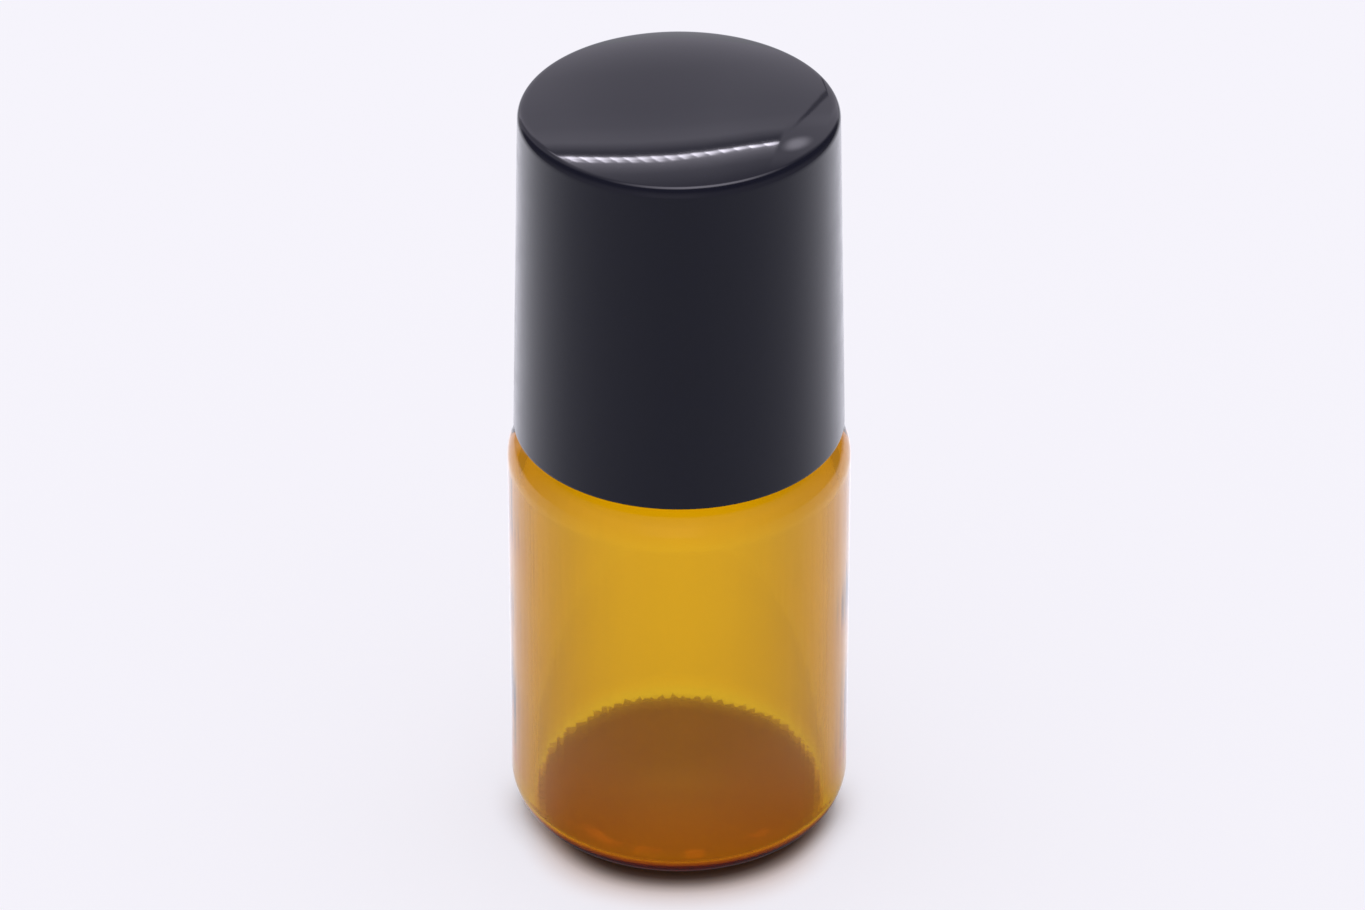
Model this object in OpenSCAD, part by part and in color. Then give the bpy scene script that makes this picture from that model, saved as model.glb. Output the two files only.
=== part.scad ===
// Small roll-on bottle: an amber glass vial, a press-in fitment that holds a ball, and a tall screw cap.
// Sizes are in millimetres. The origin is the centre of the base, and +Z points up the bottle.

/* [Glass body] */
// Outer diameter of the body
body_d = 16; // [15.6:0.1:18]
// Height from the base to the flat top of the shoulder
shoulder_h = 20.9; // [14:0.1:30]
// Thickness of the body's wall
wall_t = 1; // [0.8:0.1:1.3]
// Thickness of the floor
floor_t = 0.9; // [0.8:0.05:1.8]
// Radius of the heel, where the wall turns into the base
heel_r = 2; // [1.2:0.1:2.4]
// Radius where the wall turns into the shoulder
shoulder_r = 0.9; // [0.6:0.1:1.3]
// Diameter of the hollow in the base
punt_d = 9.6; // [8:0.2:10.4]
// Depth of the hollow in the base
punt_h = 0.25; // [0.1:0.05:0.4]

/* [Glass neck] */
// Width of the shoulder, from the neck to the outside of the body
shoulder_w = 2.3; // [2.1:0.1:2.8]
// Height from the shoulder to the lip
neck_h = 8.8; // [7.5:0.1:11]
// Thickness of the neck's wall, between its threads
neck_wall_t = 1.7; // [1.4:0.1:2]
// Radius of the lip's edges
lip_r = 0.45; // [0.2:0.05:0.6]

/* [Thread] */
// Rise of the thread in one turn
thread_pitch = 2.1; // [2:0.05:2.4]
// Turns of thread on the neck
neck_turns = 2; // [1.5:0.25:2.25]
// Turns of thread in the cap
cap_turns = 1.5; // [1:0.25:1.75]
// Height of the thread's ridge
thread_depth = 0.75; // [0.5:0.05:0.8]
// Width of the ridge where it leaves the wall
ridge_root_w = 1.15; // [0.9:0.05:1.3]
// Width of the ridge at its crest
ridge_crest_w = 0.45; // [0.3:0.05:0.6]

/* [Ball] */
// Diameter of the ball
ball_d = 6; // [5.6:0.1:6.2]
// Height of the ball's centre above the lip
ball_rise = 3; // [2.8:0.1:3.6]

/* [Ball fitment] */
// Thickness of the fitment's wall round the ball, at the ball's widest
collar_t = 1.1; // [0.8:0.05:1.3]
// Height of the collar's rim above the ball's centre
collar_over = 1.1; // [0.9:0.05:1.3]
// How far the flange on the lip stays inside the neck's outside
flange_inset = 0.5; // [0.3:0.1:0.8]
// Thickness of the flange
flange_t = 0.8; // [0.6:0.1:1.2]
// Depth of the plug in the neck
plug_l = 5.2; // [4:0.1:6]
// Thickness of the plug's wall
plug_t = 0.95; // [0.7:0.05:1.2]
// Thickness of the web under the ball, at its thinnest
web_t = 0.4; // [0.3:0.05:0.6]
// Diameter of the hole in the middle of the web
feed_d = 1.8; // [1.2:0.1:2.2]
// Number of slots in the web
feed_slots = 3; // [3:1:4]
// Width of a slot in the web
slot_w = 0.8; // [0.6:0.1:1]
// Height of a slot in the web
slot_h = 0.9; // [0.7:0.1:1.2]

/* [Cap] */
// How much less the cap's radius is at its rim than the glass body's
cap_step = 0.3; // [0.1:0.05:0.5]
// Thickness of the cap's wall near the top
cap_top_wall_t = 1.05; // [0.9:0.05:1.2]
// Thickness of the roof over the seal pad
roof_t = 1.9; // [1.7:0.1:2.6]
// Height of the domed top above its edge
dome_h = 1.2; // [0.6:0.1:1.4]
// Radius of the edge between the side and the top
cap_edge_r = 0.35; // [0.2:0.05:0.5]
// How much less the cap's radius is at the top edge than at the rim
cap_taper = 0.35; // [0.2:0.05:0.5]
// Thickness of the seal ring that hangs from the roof
ring_t = 0.75; // [0.5:0.05:0.9]
// How far the seal ring reaches down over the fitment's collar
ring_lap = 0.7; // [0.4:0.1:1.2]

/* [Seal pad] */
// Thickness of the pad
pad_t = 1.7; // [1.4:0.1:2.2]
// Depth of the dish that fits over the ball
dish_h = 0.3; // [0.15:0.05:0.5]

/* [Hidden] */
$fn = 96;

// Clearances
ball_gap = 0.06;         // between the ball and its socket
seal_gap = 0.1;          // between the ball and the closed cap's pad
pad_gap = 0.05;          // between the pad and the seal ring, and the pad and the roof
ring_gap = 0.15;         // between the seal ring and the fitment's collar
rim_gap = 0.2;           // between the cap's rim and the glass shoulder
thread_side_gap = 0.1;   // between the flanks of the two threads
thread_crest_gap = 0.15; // between a thread's crest and the wall that it faces
plug_gap = 0.08;         // between the plug and the bore, apart from the sealing beads
bead_bite = 0.03;        // how far the sealing beads press into the bore
overrun = 0.5;           // by which a cut runs past what it cuts
fuse = 0.25;             // by which a ridge is sunk into its wall

// Details of the glass
body_r = body_d / 2;
inner_r = body_r - wall_t;
floor_corner_r = 0.5;   // inside, where the floor turns into the wall
inner_shoulder_r = 1.3; // inside, where the wall turns into the shoulder
neck_fillet_r = 0.5;    // outside, at the foot of the neck
throat_r = 0.9;         // inside, where the shoulder turns into the bore
shoulder_t = 1.3;       // thickness of the glass in the shoulder
neck_r = body_r - shoulder_w;
bore_r = neck_r - neck_wall_t;
punt_r = punt_d / 2;
lip_z = shoulder_h + neck_h;
inner_shoulder_z = shoulder_h - shoulder_t;

// Thread on the neck, and its partner in the cap
thread_drop = 1.1;     // from the lip to the top of the neck's ridge
thread_crest_r = neck_r + thread_depth;
thread_start = 25;     // degrees from the X axis to where both threads start
ridge_fade = 35;       // degrees over which a ridge rises to its full height
ridge_step = 10;       // degrees between a ridge's sections
ridge_start_share = 0.06; // of a ridge's full height, that it has at its ends
neck_thread_top = lip_z - thread_drop - ridge_root_w / 2;
neck_thread_z = neck_thread_top - neck_turns * thread_pitch;
cap_bore_r = thread_crest_r + thread_crest_gap;
cap_crest_r = neck_r + thread_crest_gap;
cap_ridge_depth = cap_bore_r - cap_crest_r;

// Half width of a ridge at some height above its wall
function half_width(h) = (ridge_root_w - (ridge_root_w - ridge_crest_w) * h / thread_depth) / 2;
// The flanks come closest at the cap ridge's crest or at the neck ridge's crest
flank_reach = max(half_width(thread_crest_gap) + half_width(cap_ridge_depth),
                  half_width(thread_depth) + half_width(thread_crest_gap));
thread_lag = flank_reach + thread_side_gap; // by which the cap's ridge lies under the neck's
cap_thread_z = neck_thread_z - thread_lag;

// Ball and fitment
ball_r = ball_d / 2;
ball_z = lip_z + ball_rise;
ball_top_z = ball_z + ball_r;
socket_r = ball_r + ball_gap;
collar_r = socket_r + collar_t;
collar_z = ball_z + collar_over;
collar_edge_r = 0.3;   // round edge of the collar's rim
flange_r = neck_r - flange_inset;
plug_r = bore_r - plug_gap;
plug_inner_r = plug_r - plug_t;
plug_z = lip_z - plug_l;
plug_tip_h = 0.7;      // height of the plug's tapered tip
plug_tip_in = 0.35;    // by which the tip is narrower
bead_r = bore_r + bead_bite;
bead_h = 0.6;          // height of a sealing bead
bead_steps = 6;        // flats across a bead's round back
bead_share = [0.35, 0.7]; // of the plug's depth, where the beads lie
web_z = ball_z - socket_r - web_t;
slot_reach_share = 0.9; // of the plug's inner radius, that a slot reaches out to

// Seal pad and cap
rim_z = shoulder_h + rim_gap;
pad_z = ball_top_z - dish_h;
pad_top_z = pad_z + pad_t;
ring_r = collar_r + ring_gap;
pad_r = ring_r - pad_gap;
pad_edge = 0.25;       // chamfer of the pad's lower edge
seat_z = pad_top_z + pad_gap;
apex_z = seat_z + roof_t;
edge_z = apex_z - dome_h;
ceiling_drop = 0.5;    // from the pad's seat to the ceiling outside the seal ring
ceiling_z = seat_z - ceiling_drop;
ceiling_r = 0.5;       // round corner between the ceiling and the wall
ring_z = collar_z - ring_lap;
ring_edge = 0.2;       // chamfer of the seal ring's lower edge
rim_r = body_r - cap_step;
top_r = rim_r - cap_taper;
top_bore_r = top_r - cap_top_wall_t;
rim_edge_r = 0.15;     // round outer edge of the rim
rim_chamfer = 0.35;    // lead-in inside the rim
bore_top_z = lip_z + flange_t; // where the cap's bore starts to narrow

// Points of an arc about [x, z] from angle a to angle b, in n steps
function arc(x, z, r, a, b, n = 8) =
    [for (i = [0 : n]) [x + r * cos(a + (b - a) * i / n), z + r * sin(a + (b - a) * i / n)]];

// Radius of the ball-shaped cap that is h high over a circle of radius r
function dome_radius(r, h) = (r * r + h * h) / (2 * h);

// Share of its full height that a ridge has at a place along it, in degrees
function ridge_share(a, length) = min(1, a / ridge_fade, (length - a) / ridge_fade);

// One section of a ridge, from its sunken foot over the crest. side is 1 outwards and -1 inwards
function ridge_section(wall_r, side, depth, share) =
    let (h = depth * max(share, ridge_start_share))
    let (foot = wall_r - side * fuse, top = wall_r + side * h)
    let (wide = side * half_width(-fuse), narrow = side * half_width(h))
    [[foot, -wide], [top, -narrow], [top, narrow], [foot, wide]];

// A helical ridge that starts at height z and climbs anticlockwise
module ridge(wall_r, side, depth, z, turns) {
    steps = ceil(turns * 360 / ridge_step);
    length = turns * 360;
    sections = [for (i = [0 : steps])
        let (a = length * i / steps)
        [for (p = ridge_section(wall_r, side, depth, ridge_share(a, length)))
            [p[0] * cos(thread_start + a), p[0] * sin(thread_start + a), z + p[1] + thread_pitch * a / 360]]];
    count = len(sections[0]);
    points = [for (s = sections) each s];
    sides = [for (i = [0 : steps - 1], j = [0 : count - 1])
        let (a = i * count + j, b = i * count + (j + 1) % count)
        each [[a, b, a + count], [b, b + count, a + count]]];
    first = [for (j = [1 : count - 2]) [0, j + 1, j]];
    last = [for (j = [1 : count - 2]) [steps * count, steps * count + j, steps * count + j + 1]];
    polyhedron(points, concat(sides, first, last), convexity = 6);
}

module glass_bottle() {
    punt_ball = dome_radius(punt_r, punt_h);
    punt_angle = asin(punt_r / punt_ball);
    outside = concat(
        arc(0, punt_h - punt_ball, punt_ball, 90, 90 - punt_angle, 6),
        arc(body_r - heel_r, heel_r, heel_r, -90, 0),
        arc(body_r - shoulder_r, shoulder_h - shoulder_r, shoulder_r, 0, 90),
        arc(neck_r + neck_fillet_r, shoulder_h + neck_fillet_r, neck_fillet_r, 270, 180, 5),
        arc(neck_r - lip_r, lip_z - lip_r, lip_r, 0, 90, 5));
    inside = concat(
        arc(bore_r + lip_r, lip_z - lip_r, lip_r, 90, 180, 5),
        arc(bore_r + throat_r, inner_shoulder_z + throat_r, throat_r, 180, 270, 5),
        arc(inner_r - inner_shoulder_r, inner_shoulder_z - inner_shoulder_r, inner_shoulder_r, 90, 0),
        arc(inner_r - floor_corner_r, floor_t + floor_corner_r, floor_corner_r, 0, -90),
        [[0, floor_t]]);
    color([0.72, 0.42, 0.06, 0.6]) union() {
        rotate_extrude() polygon(concat(outside, inside));
        ridge(neck_r, 1, thread_depth, neck_thread_z, neck_turns);
    }
}

// Ring-shaped bead round the plug, with a round back
module plug_bead(z) {
    rotate_extrude() polygon(concat(
        [[plug_inner_r + plug_t / 2, z - bead_h / 2]],
        [for (i = [0 : bead_steps]) let (share = i / bead_steps)
            [plug_r + (bead_r - plug_r) * sin(180 * share), z + bead_h * (share - 1 / 2)]],
        [[plug_inner_r + plug_t / 2, z + bead_h / 2]]));
}

module ball_fitment() {
    color("ivory") difference() {
        union() {
            rotate_extrude() polygon(concat(
                [[plug_inner_r, plug_z], [plug_r - plug_tip_in, plug_z], [plug_r, plug_z + plug_tip_h]],
                [[plug_r, lip_z], [flange_r, lip_z]],
                [[flange_r, lip_z + flange_t], [collar_r, lip_z + flange_t]],
                arc(collar_r - collar_edge_r, collar_z - collar_edge_r, collar_edge_r, 0, 90, 5),
                [[0, collar_z], [0, web_z], [plug_inner_r, web_z]]));
            for (share = bead_share) plug_bead(lip_z - plug_l * share);
        }
        translate([0, 0, ball_z]) sphere(r = socket_r);
        translate([0, 0, web_z - overrun]) cylinder(d = feed_d, h = web_t + 2 * overrun);
        for (i = [0 : feed_slots - 1]) rotate(i * 360 / feed_slots)
            translate([0, -slot_w / 2, web_z - overrun])
                cube([plug_inner_r * slot_reach_share, slot_w, slot_h + overrun]);
    }
}

module roller_ball() {
    color("silver") translate([0, 0, ball_z]) sphere(r = ball_r);
}

module seal_pad() {
    color("whitesmoke") difference() {
        rotate_extrude() polygon([
            [0, pad_z], [pad_r - pad_edge, pad_z], [pad_r, pad_z + pad_edge],
            [pad_r, pad_top_z], [0, pad_top_z]]);
        translate([0, 0, ball_z]) sphere(r = ball_r + seal_gap);
    }
}

// Space for the pad inside the cap's seal ring, with a lead-in below
module seal_recess() {
    rotate_extrude() polygon([
        [0, ring_z - overrun], [ring_r + ring_edge + overrun, ring_z - overrun],
        [ring_r + ring_edge, ring_z], [ring_r, ring_z + ring_edge], [ring_r, seat_z], [0, seat_z]]);
}

module screw_cap() {
    dome_r = top_r - cap_edge_r;
    dome_ball = dome_radius(dome_r, dome_h);
    dome_angle = asin(dome_r / dome_ball);
    outside = concat(
        arc(rim_r - rim_edge_r, rim_z + rim_edge_r, rim_edge_r, -90, 0, 4),
        arc(top_r - cap_edge_r, edge_z - cap_edge_r, cap_edge_r, 0, 90 - dome_angle, 6),
        arc(0, apex_z - dome_ball, dome_ball, 90 - dome_angle, 90, 16));
    inside = concat(
        [[0, ceiling_z]],
        arc(top_bore_r - ceiling_r, ceiling_z - ceiling_r, ceiling_r, 90, 0, 5),
        [[cap_bore_r, bore_top_z], [cap_bore_r, rim_z + rim_chamfer], [cap_bore_r + rim_chamfer, rim_z]]);
    color([0.09, 0.09, 0.11]) difference() {
        union() {
            rotate_extrude() polygon(concat(outside, inside));
            rotate_extrude() polygon([
                [ring_r - fuse, ring_z], [ring_r + ring_t, ring_z],
                [ring_r + ring_t, ceiling_z + fuse], [ring_r - fuse, ceiling_z + fuse]]);
            ridge(cap_bore_r, -1, cap_ridge_depth, cap_thread_z, cap_turns);
        }
        seal_recess();
    }
}

glass_bottle();
ball_fitment();
roller_ball();
seal_pad();
screw_cap();
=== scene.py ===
"""Looks of a small roll-on bottle: an amber glass vial with a ball fitment and a tall black screw cap.

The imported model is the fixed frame. Sizes and outlines are in millimetres, like the part's own, and the
meshes made from them are in metres. Each piece replaces the node that gives it its place.
"""
import math

import bpy
import numpy as np
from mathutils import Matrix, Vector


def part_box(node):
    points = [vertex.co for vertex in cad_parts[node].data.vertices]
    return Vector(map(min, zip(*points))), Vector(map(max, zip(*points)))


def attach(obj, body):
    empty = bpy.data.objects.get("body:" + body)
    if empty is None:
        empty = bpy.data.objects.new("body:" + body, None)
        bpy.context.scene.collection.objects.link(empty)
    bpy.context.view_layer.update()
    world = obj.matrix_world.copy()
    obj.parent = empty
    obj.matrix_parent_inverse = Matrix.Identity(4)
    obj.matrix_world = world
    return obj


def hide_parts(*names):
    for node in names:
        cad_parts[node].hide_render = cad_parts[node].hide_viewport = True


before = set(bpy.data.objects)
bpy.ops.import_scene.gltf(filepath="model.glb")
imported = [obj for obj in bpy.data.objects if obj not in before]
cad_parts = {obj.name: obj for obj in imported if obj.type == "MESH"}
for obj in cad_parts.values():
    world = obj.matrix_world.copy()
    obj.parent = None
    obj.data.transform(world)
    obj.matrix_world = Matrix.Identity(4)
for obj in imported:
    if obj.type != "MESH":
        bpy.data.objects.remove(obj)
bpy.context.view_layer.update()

MM = 0.001


def node_box(node):
    """Lowest and highest corner of a node, in millimetres."""
    low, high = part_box(node)
    return low / MM, high / MM


# Main sizes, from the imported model
GLASS_LOW, GLASS_HIGH = node_box("glass_bottle")
CAP_LOW, CAP_HIGH = node_box("screw_cap")
FITMENT_LOW, FITMENT_HIGH = node_box("ball_fitment")
BALL_LOW, BALL_HIGH = node_box("roller_ball")
PAD_LOW, PAD_HIGH = node_box("seal_pad")

BASE_Z = GLASS_LOW.z
BODY_R = GLASS_HIGH.x
LIP_Z = GLASS_HIGH.z
RIM_R = CAP_HIGH.x
RIM_Z = CAP_LOW.z
APEX_Z = CAP_HIGH.z
BALL_R = BALL_HIGH.x
BALL_Z = (BALL_LOW.z + BALL_HIGH.z) / 2
PLUG_Z = FITMENT_LOW.z
COLLAR_Z = FITMENT_HIGH.z
FLANGE_R = FITMENT_HIGH.x
PAD_R = PAD_HIGH.x
PAD_Z = PAD_LOW.z
PAD_TOP_Z = PAD_HIGH.z

# Glass
WALL_T = 1.0
FLOOR_T = 0.9
HEEL_R = 2.0
NECK_H = 8.8              # from the shoulder to the lip
NECK_STEP = 2.3           # how much smaller than the body's the neck's radius is
NECK_T = 1.7
NECK_FILLET_R = 0.5
SHOULDER_R = 1.6
SHOULDER_T = 1.1
PUNT_R = 4.8              # the hollow of the base
PUNT_H = 0.25
LIP_R = 0.45
THROAT_R = 0.9
INNER_SHOULDER_R = 1.2
FLOOR_CORNER_R = 0.5
SHOULDER_Z = LIP_Z - NECK_H
NECK_R = BODY_R - NECK_STEP
BORE_R = NECK_R - NECK_T
INNER_R = BODY_R - WALL_T

# Grooves of the ring that the bottle stands on. They start and end between these radii. Two slow waves, each
# with its count round the foot and its phase, make some of them shallower
KNURLS = 80
KNURL_DEPTH = 0.05
KNURL_UNEVEN_SHARE = 0.3
KNURL_WAVES = ((7, 1.0), (11, 0.0))
KNURL_INNER = (6.4, 6.8)
KNURL_OUTER = (7.2, 7.6)

# Slow unevenness of the inner wall. It starts and ends between these heights. Each wave has its count round
# the bottle, its turn for each millimetre of height, and its phase
RIPPLE_DEPTH = 0.015
RIPPLE_LOW = (2.0, 5.0)
RIPPLE_HIGH = (15.0, 17.5)
RIPPLE_WAVES = ((3, 0.5, 0.0), (5, -0.9, 1.7), (2, 1.3, 4.1))

# Threads
PITCH = 2.1
NECK_TURNS = 2
CAP_TURNS = 1.5
THREAD_DEPTH = 0.75
THREAD_ROOT = 1.15        # width of the ridge at its foot
THREAD_CREST = 0.3        # width of the ridge at its top
THREAD_START = math.radians(25)
THREAD_FADE = 35 / 360    # of a turn, at both ends
THREAD_TO_LIP = 1.1
THREAD_DROP = 0.83        # how far below the neck's thread the cap's one starts
THREAD_GAP = 0.15         # between the neck's thread and the cap's bore
NECK_THREAD_Z = LIP_Z - THREAD_TO_LIP - THREAD_ROOT / 2 - NECK_TURNS * PITCH
CAP_THREAD_Z = NECK_THREAD_Z - THREAD_DROP
CAP_BORE_R = NECK_R + THREAD_DEPTH + THREAD_GAP

# Cap. The arcs of its top edge have a radius, and the degrees where they start and end
CAP_TAPER = 0.35
EDGE_ARCS = ((0.4, 0, 58), (0.9, 58, 66), (2.2, 66, 70.9))
DOME_H = 1.2
RIM_EDGE_R = 0.15
RIM_CHAMFER = 0.35
ROOF_T = 1.9              # from the apex down to the pad's seat
CEILING_STEP = 0.5        # how much lower than the seat the ceiling round the ring lies
CEILING_R = 0.5
TOP_WALL_T = 1.05
BORE_OVER_LIP = 0.8
RING_GAP = 0.05
RING_T = 0.75
RING_REACH = 0.7          # how far below the collar's top the seal ring reaches
RING_EDGE_R = 0.2
TOP_R = RIM_R - CAP_TAPER
EDGE_Z = APEX_Z - DOME_H
SEAT_Z = APEX_Z - ROOF_T
CEILING_Z = SEAT_Z - CEILING_STEP
TOP_BORE_R = TOP_R - TOP_WALL_T
BORE_TOP_Z = LIP_Z + BORE_OVER_LIP
RING_IN_R = PAD_R + RING_GAP
RING_OUT_R = RING_IN_R + RING_T
RING_Z = COLLAR_Z - RING_REACH

# Fitment
SOCKET_GAP = 0.06
COLLAR_T = 1.1
COLLAR_EDGE_R = 0.3
MOUTH_EDGE_R = 0.15
FLANGE_T = 0.8
FLANGE_EDGE_R = 0.12
PLUG_GAP = 0.08
PLUG_T = 0.95
TIP_STEP = 0.35           # how much smaller the plug's radius is at its tip
TIP_H = 0.7
WEB_T = 0.4               # floor of the socket, with the feed hole
FEED_R = 0.9
SLOTS = 3
SLOT_W = 0.8
SLOT_H = 0.9
SLOT_REACH_SHARE = 0.9    # of the plug's inner radius
SLOT_OVERRUN = 0.5
BEAD_SHARES = (0.35, 0.7)    # places of the sealing beads along the plug, from the lip down
BEAD_H = 0.6
BEAD_OUT = 0.11
BEAD_STEPS = 8
SOCKET_R = BALL_R + SOCKET_GAP
COLLAR_R = SOCKET_R + COLLAR_T
FLANGE_Z = LIP_Z + FLANGE_T
PLUG_R = BORE_R - PLUG_GAP
PLUG_IN_R = PLUG_R - PLUG_T
WEB_Z = BALL_Z - SOCKET_R - WEB_T

# Seal pad
PAD_EDGE_R = 0.25
PAD_TOP_EDGE_R = 0.08
DISH_GAP = 0.1            # between the ball and the dish in the pad
DISH_R = BALL_R + DISH_GAP

# Counts and tolerances of the meshes
SEGMENTS = 320            # round the glass and the cap
SMALL_SEGMENTS = 128
PUNT_STEPS = 14
BALL_STEPS = 40
SHARP_ANGLE = 40
WELD_DISTANCE = 1e-7      # metres
SAME = 1e-6               # radii that are closer than this are the same


# Outlines
def arc(r, z, radius, start, end, steps=12):
    """Points (radius, height) on a circle about (r, z), from angle start to angle end in degrees."""
    angles = [math.radians(start + (end - start) * i / steps) for i in range(steps + 1)]
    return [(r + radius * math.cos(a), z + radius * math.sin(a)) for a in angles]


def straight(start, end, steps=3, support=0.04):
    """Points of a straight stretch, with one close to each end, so that round neighbours shade cleanly."""
    length = math.dist(start, end)
    near = min(support / length, 0.3)
    shares = [near + (1 - 2 * near) * i / steps for i in range(steps + 1)]
    return [tuple(a + (b - a) * s for a, b in zip(start, end)) for s in shares]


def round_corner(corner, before, after, radius, steps=5):
    """Points that round off a square corner between two neighbours of the outline."""
    corner, before, after = (np.array(p, float) for p in (corner, before, after))
    inward = (before - corner) / np.linalg.norm(before - corner)
    onward = (after - corner) / np.linalg.norm(after - corner)
    centre = corner + radius * (inward + onward)
    turn = [math.pi / 2 * i / steps for i in range(steps + 1)]
    return [tuple(centre - radius * (onward * math.cos(t) + inward * math.sin(t))) for t in turn]


def smooth(value, low, high):
    """0 below low, 1 above high, and a smooth step between."""
    share = np.clip((value - low) / (high - low), 0, 1)
    return share * share * (3 - 2 * share)


# Meshes
def new_object(name, data):
    """New object in the scene."""
    made = bpy.data.objects.new(name, data)
    bpy.context.scene.collection.objects.link(made)
    return made


def new_piece(name, vertices, faces):
    """New mesh object, from vertices in millimetres."""
    mesh = bpy.data.meshes.new(name)
    mesh.from_pydata((np.array(vertices, float) * MM).tolist(), [], faces)
    return new_object(name, mesh)


def apply_modifiers(piece):
    """Makes the piece's modified shape its own mesh."""
    bpy.context.view_layer.update()
    evaluated = piece.evaluated_get(bpy.context.evaluated_depsgraph_get())
    mesh = bpy.data.meshes.new_from_object(evaluated)
    piece.modifiers.clear()
    piece.data = mesh


def turned(name, outline, segments, relief=None):
    """Closed mesh of an outline of (radius, height) turned about the axis. The outline starts and ends on
    the axis, or is a loop that stays off it. relief gives the radius and height added at each point."""
    points = np.array(outline, float)
    angles = np.linspace(0, 2 * math.pi, segments, endpoint=False)[None, :]
    radius, height = np.repeat(points[:, :1], segments, 1), np.repeat(points[:, 1:], segments, 1)
    if relief:
        add_r, add_z = relief(radius, height, angles)
        radius, height = radius + add_r, height + add_z
    solid = points[0, 0] == 0
    first, last = (1, len(points) - 1) if solid else (0, len(points))
    grid = np.stack([radius * np.cos(angles), radius * np.sin(angles), height], -1)[first:last]
    rows = len(grid)
    vertices = grid.reshape(-1, 3)
    ring = np.arange(segments)
    after = (ring + 1) % segments
    faces = []
    for i in range(rows - 1 if solid else rows):
        low, up = i * segments, (i + 1) % rows * segments
        faces += np.stack([low + ring, low + after, up + after, up + ring], 1).tolist()
    if solid:
        tips = [(0, 0, points[0, 1]), (0, 0, points[-1, 1])]
        start, end = len(vertices), len(vertices) + 1
        vertices = np.concatenate([vertices, tips])
        top = (rows - 1) * segments
        faces += [[start, b, a] for a, b in zip(ring.tolist(), after.tolist())]
        faces += [[end, top + a, top + b] for a, b in zip(ring.tolist(), after.tolist())]
    piece = new_piece(name, vertices, faces)
    piece.data.validate()
    piece.data.shade_smooth()
    return piece


def helix(height, angle, start, turns):
    """Share of its full depth that a helical thread has at each place. It fades out at both ends."""
    share = np.zeros(np.broadcast(height, angle).shape)
    along = (angle - THREAD_START) / (2 * math.pi) % 1
    for turn in range(math.ceil(turns)):
        off = np.abs(height - start - PITCH * (along + turn))
        across = 1 - smooth(off, THREAD_CREST / 2, THREAD_ROOT / 2)
        fade = smooth(np.minimum(along + turn, turns - along - turn), 0, THREAD_FADE)
        share = np.maximum(share, across * fade)
    return share


def ripple(height, angle):
    """Slow unevenness of drawn glass, from -1 to 1."""
    waves = [np.sin(count * angle + rise * height + phase) for count, rise, phase in RIPPLE_WAVES]
    return sum(waves) / len(waves)


def knurling(angle):
    """Share of its full depth that the foot's knurling has at each angle. Some grooves are shallower."""
    groove = (1 - np.cos(KNURLS * angle)) / 2
    first, second = (np.sin(count * angle + phase) for count, phase in KNURL_WAVES)
    return groove * (1 - KNURL_UNEVEN_SHARE + KNURL_UNEVEN_SHARE * first * second)


# Pieces
def make_glass():
    """Amber vial: hollow base, knurled ring, wall, shoulder, threaded neck, and the inside back down."""
    foot_r, heel_z = BODY_R - HEEL_R, BASE_Z + HEEL_R
    shoulder_low, shoulder_in_r = SHOULDER_Z - SHOULDER_R, BODY_R - SHOULDER_R
    fillet_r, neck_low, neck_high = NECK_R + NECK_FILLET_R, SHOULDER_Z + NECK_FILLET_R, LIP_Z - LIP_R
    inner_top, floor_z = SHOULDER_Z - SHOULDER_T, BASE_Z + FLOOR_T
    throat_z, inner_shoulder_z = inner_top + THROAT_R, inner_top - INNER_SHOULDER_R
    corner_r, corner_z = INNER_R - FLOOR_CORNER_R, floor_z + FLOOR_CORNER_R
    shares = [i / PUNT_STEPS for i in range(PUNT_STEPS)]
    outline = (
        [(PUNT_R * s, BASE_Z + PUNT_H * (1 + math.cos(math.pi * s)) / 2) for s in shares]
        + straight((PUNT_R, BASE_Z), (foot_r, BASE_Z), 14)
        + arc(foot_r, heel_z, HEEL_R, -90, 0, 22)
        + straight((BODY_R, heel_z), (BODY_R, shoulder_low), 24)
        + arc(shoulder_in_r, shoulder_low, SHOULDER_R, 0, 90)
        + straight((shoulder_in_r, SHOULDER_Z), (fillet_r, SHOULDER_Z))
        + arc(fillet_r, neck_low, NECK_FILLET_R, 270, 180, 8)
        + straight((NECK_R, neck_low), (NECK_R, neck_high), 90)
        + arc(NECK_R - LIP_R, neck_high, LIP_R, 0, 90, 10)
        + arc(BORE_R + LIP_R, neck_high, LIP_R, 90, 180, 10)
        + straight((BORE_R, neck_high), (BORE_R, throat_z), 8)
        + arc(BORE_R + THROAT_R, throat_z, THROAT_R, 180, 270)
        + arc(INNER_R - INNER_SHOULDER_R, inner_shoulder_z, INNER_SHOULDER_R, 90, 0, 16)
        + straight((INNER_R, inner_shoulder_z), (INNER_R, corner_z), 24)
        + arc(corner_r, corner_z, FLOOR_CORNER_R, 0, -90, 14)
        + straight((corner_r, floor_z), (0, floor_z), 12)[:-1]
        + [(0, floor_z)])

    def relief(radius, height, angle):
        on_neck = (np.abs(radius - NECK_R) < SAME) & (height > neck_low)
        thread = on_neck * THREAD_DEPTH * helix(height, angle, NECK_THREAD_Z, NECK_TURNS)
        on_wall = np.abs(radius - INNER_R) < SAME
        ends = smooth(height, *RIPPLE_LOW) * (1 - smooth(height, *RIPPLE_HIGH))
        uneven = on_wall * ends * RIPPLE_DEPTH * ripple(height, angle)
        under = height < BASE_Z + FLOOR_T / 2
        reach = smooth(radius, *KNURL_INNER) * (1 - smooth(radius, *KNURL_OUTER))
        return thread + uneven, under * reach * KNURL_DEPTH * knurling(angle)

    return turned("amber_glass_bottle", outline, SEGMENTS, relief)


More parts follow.
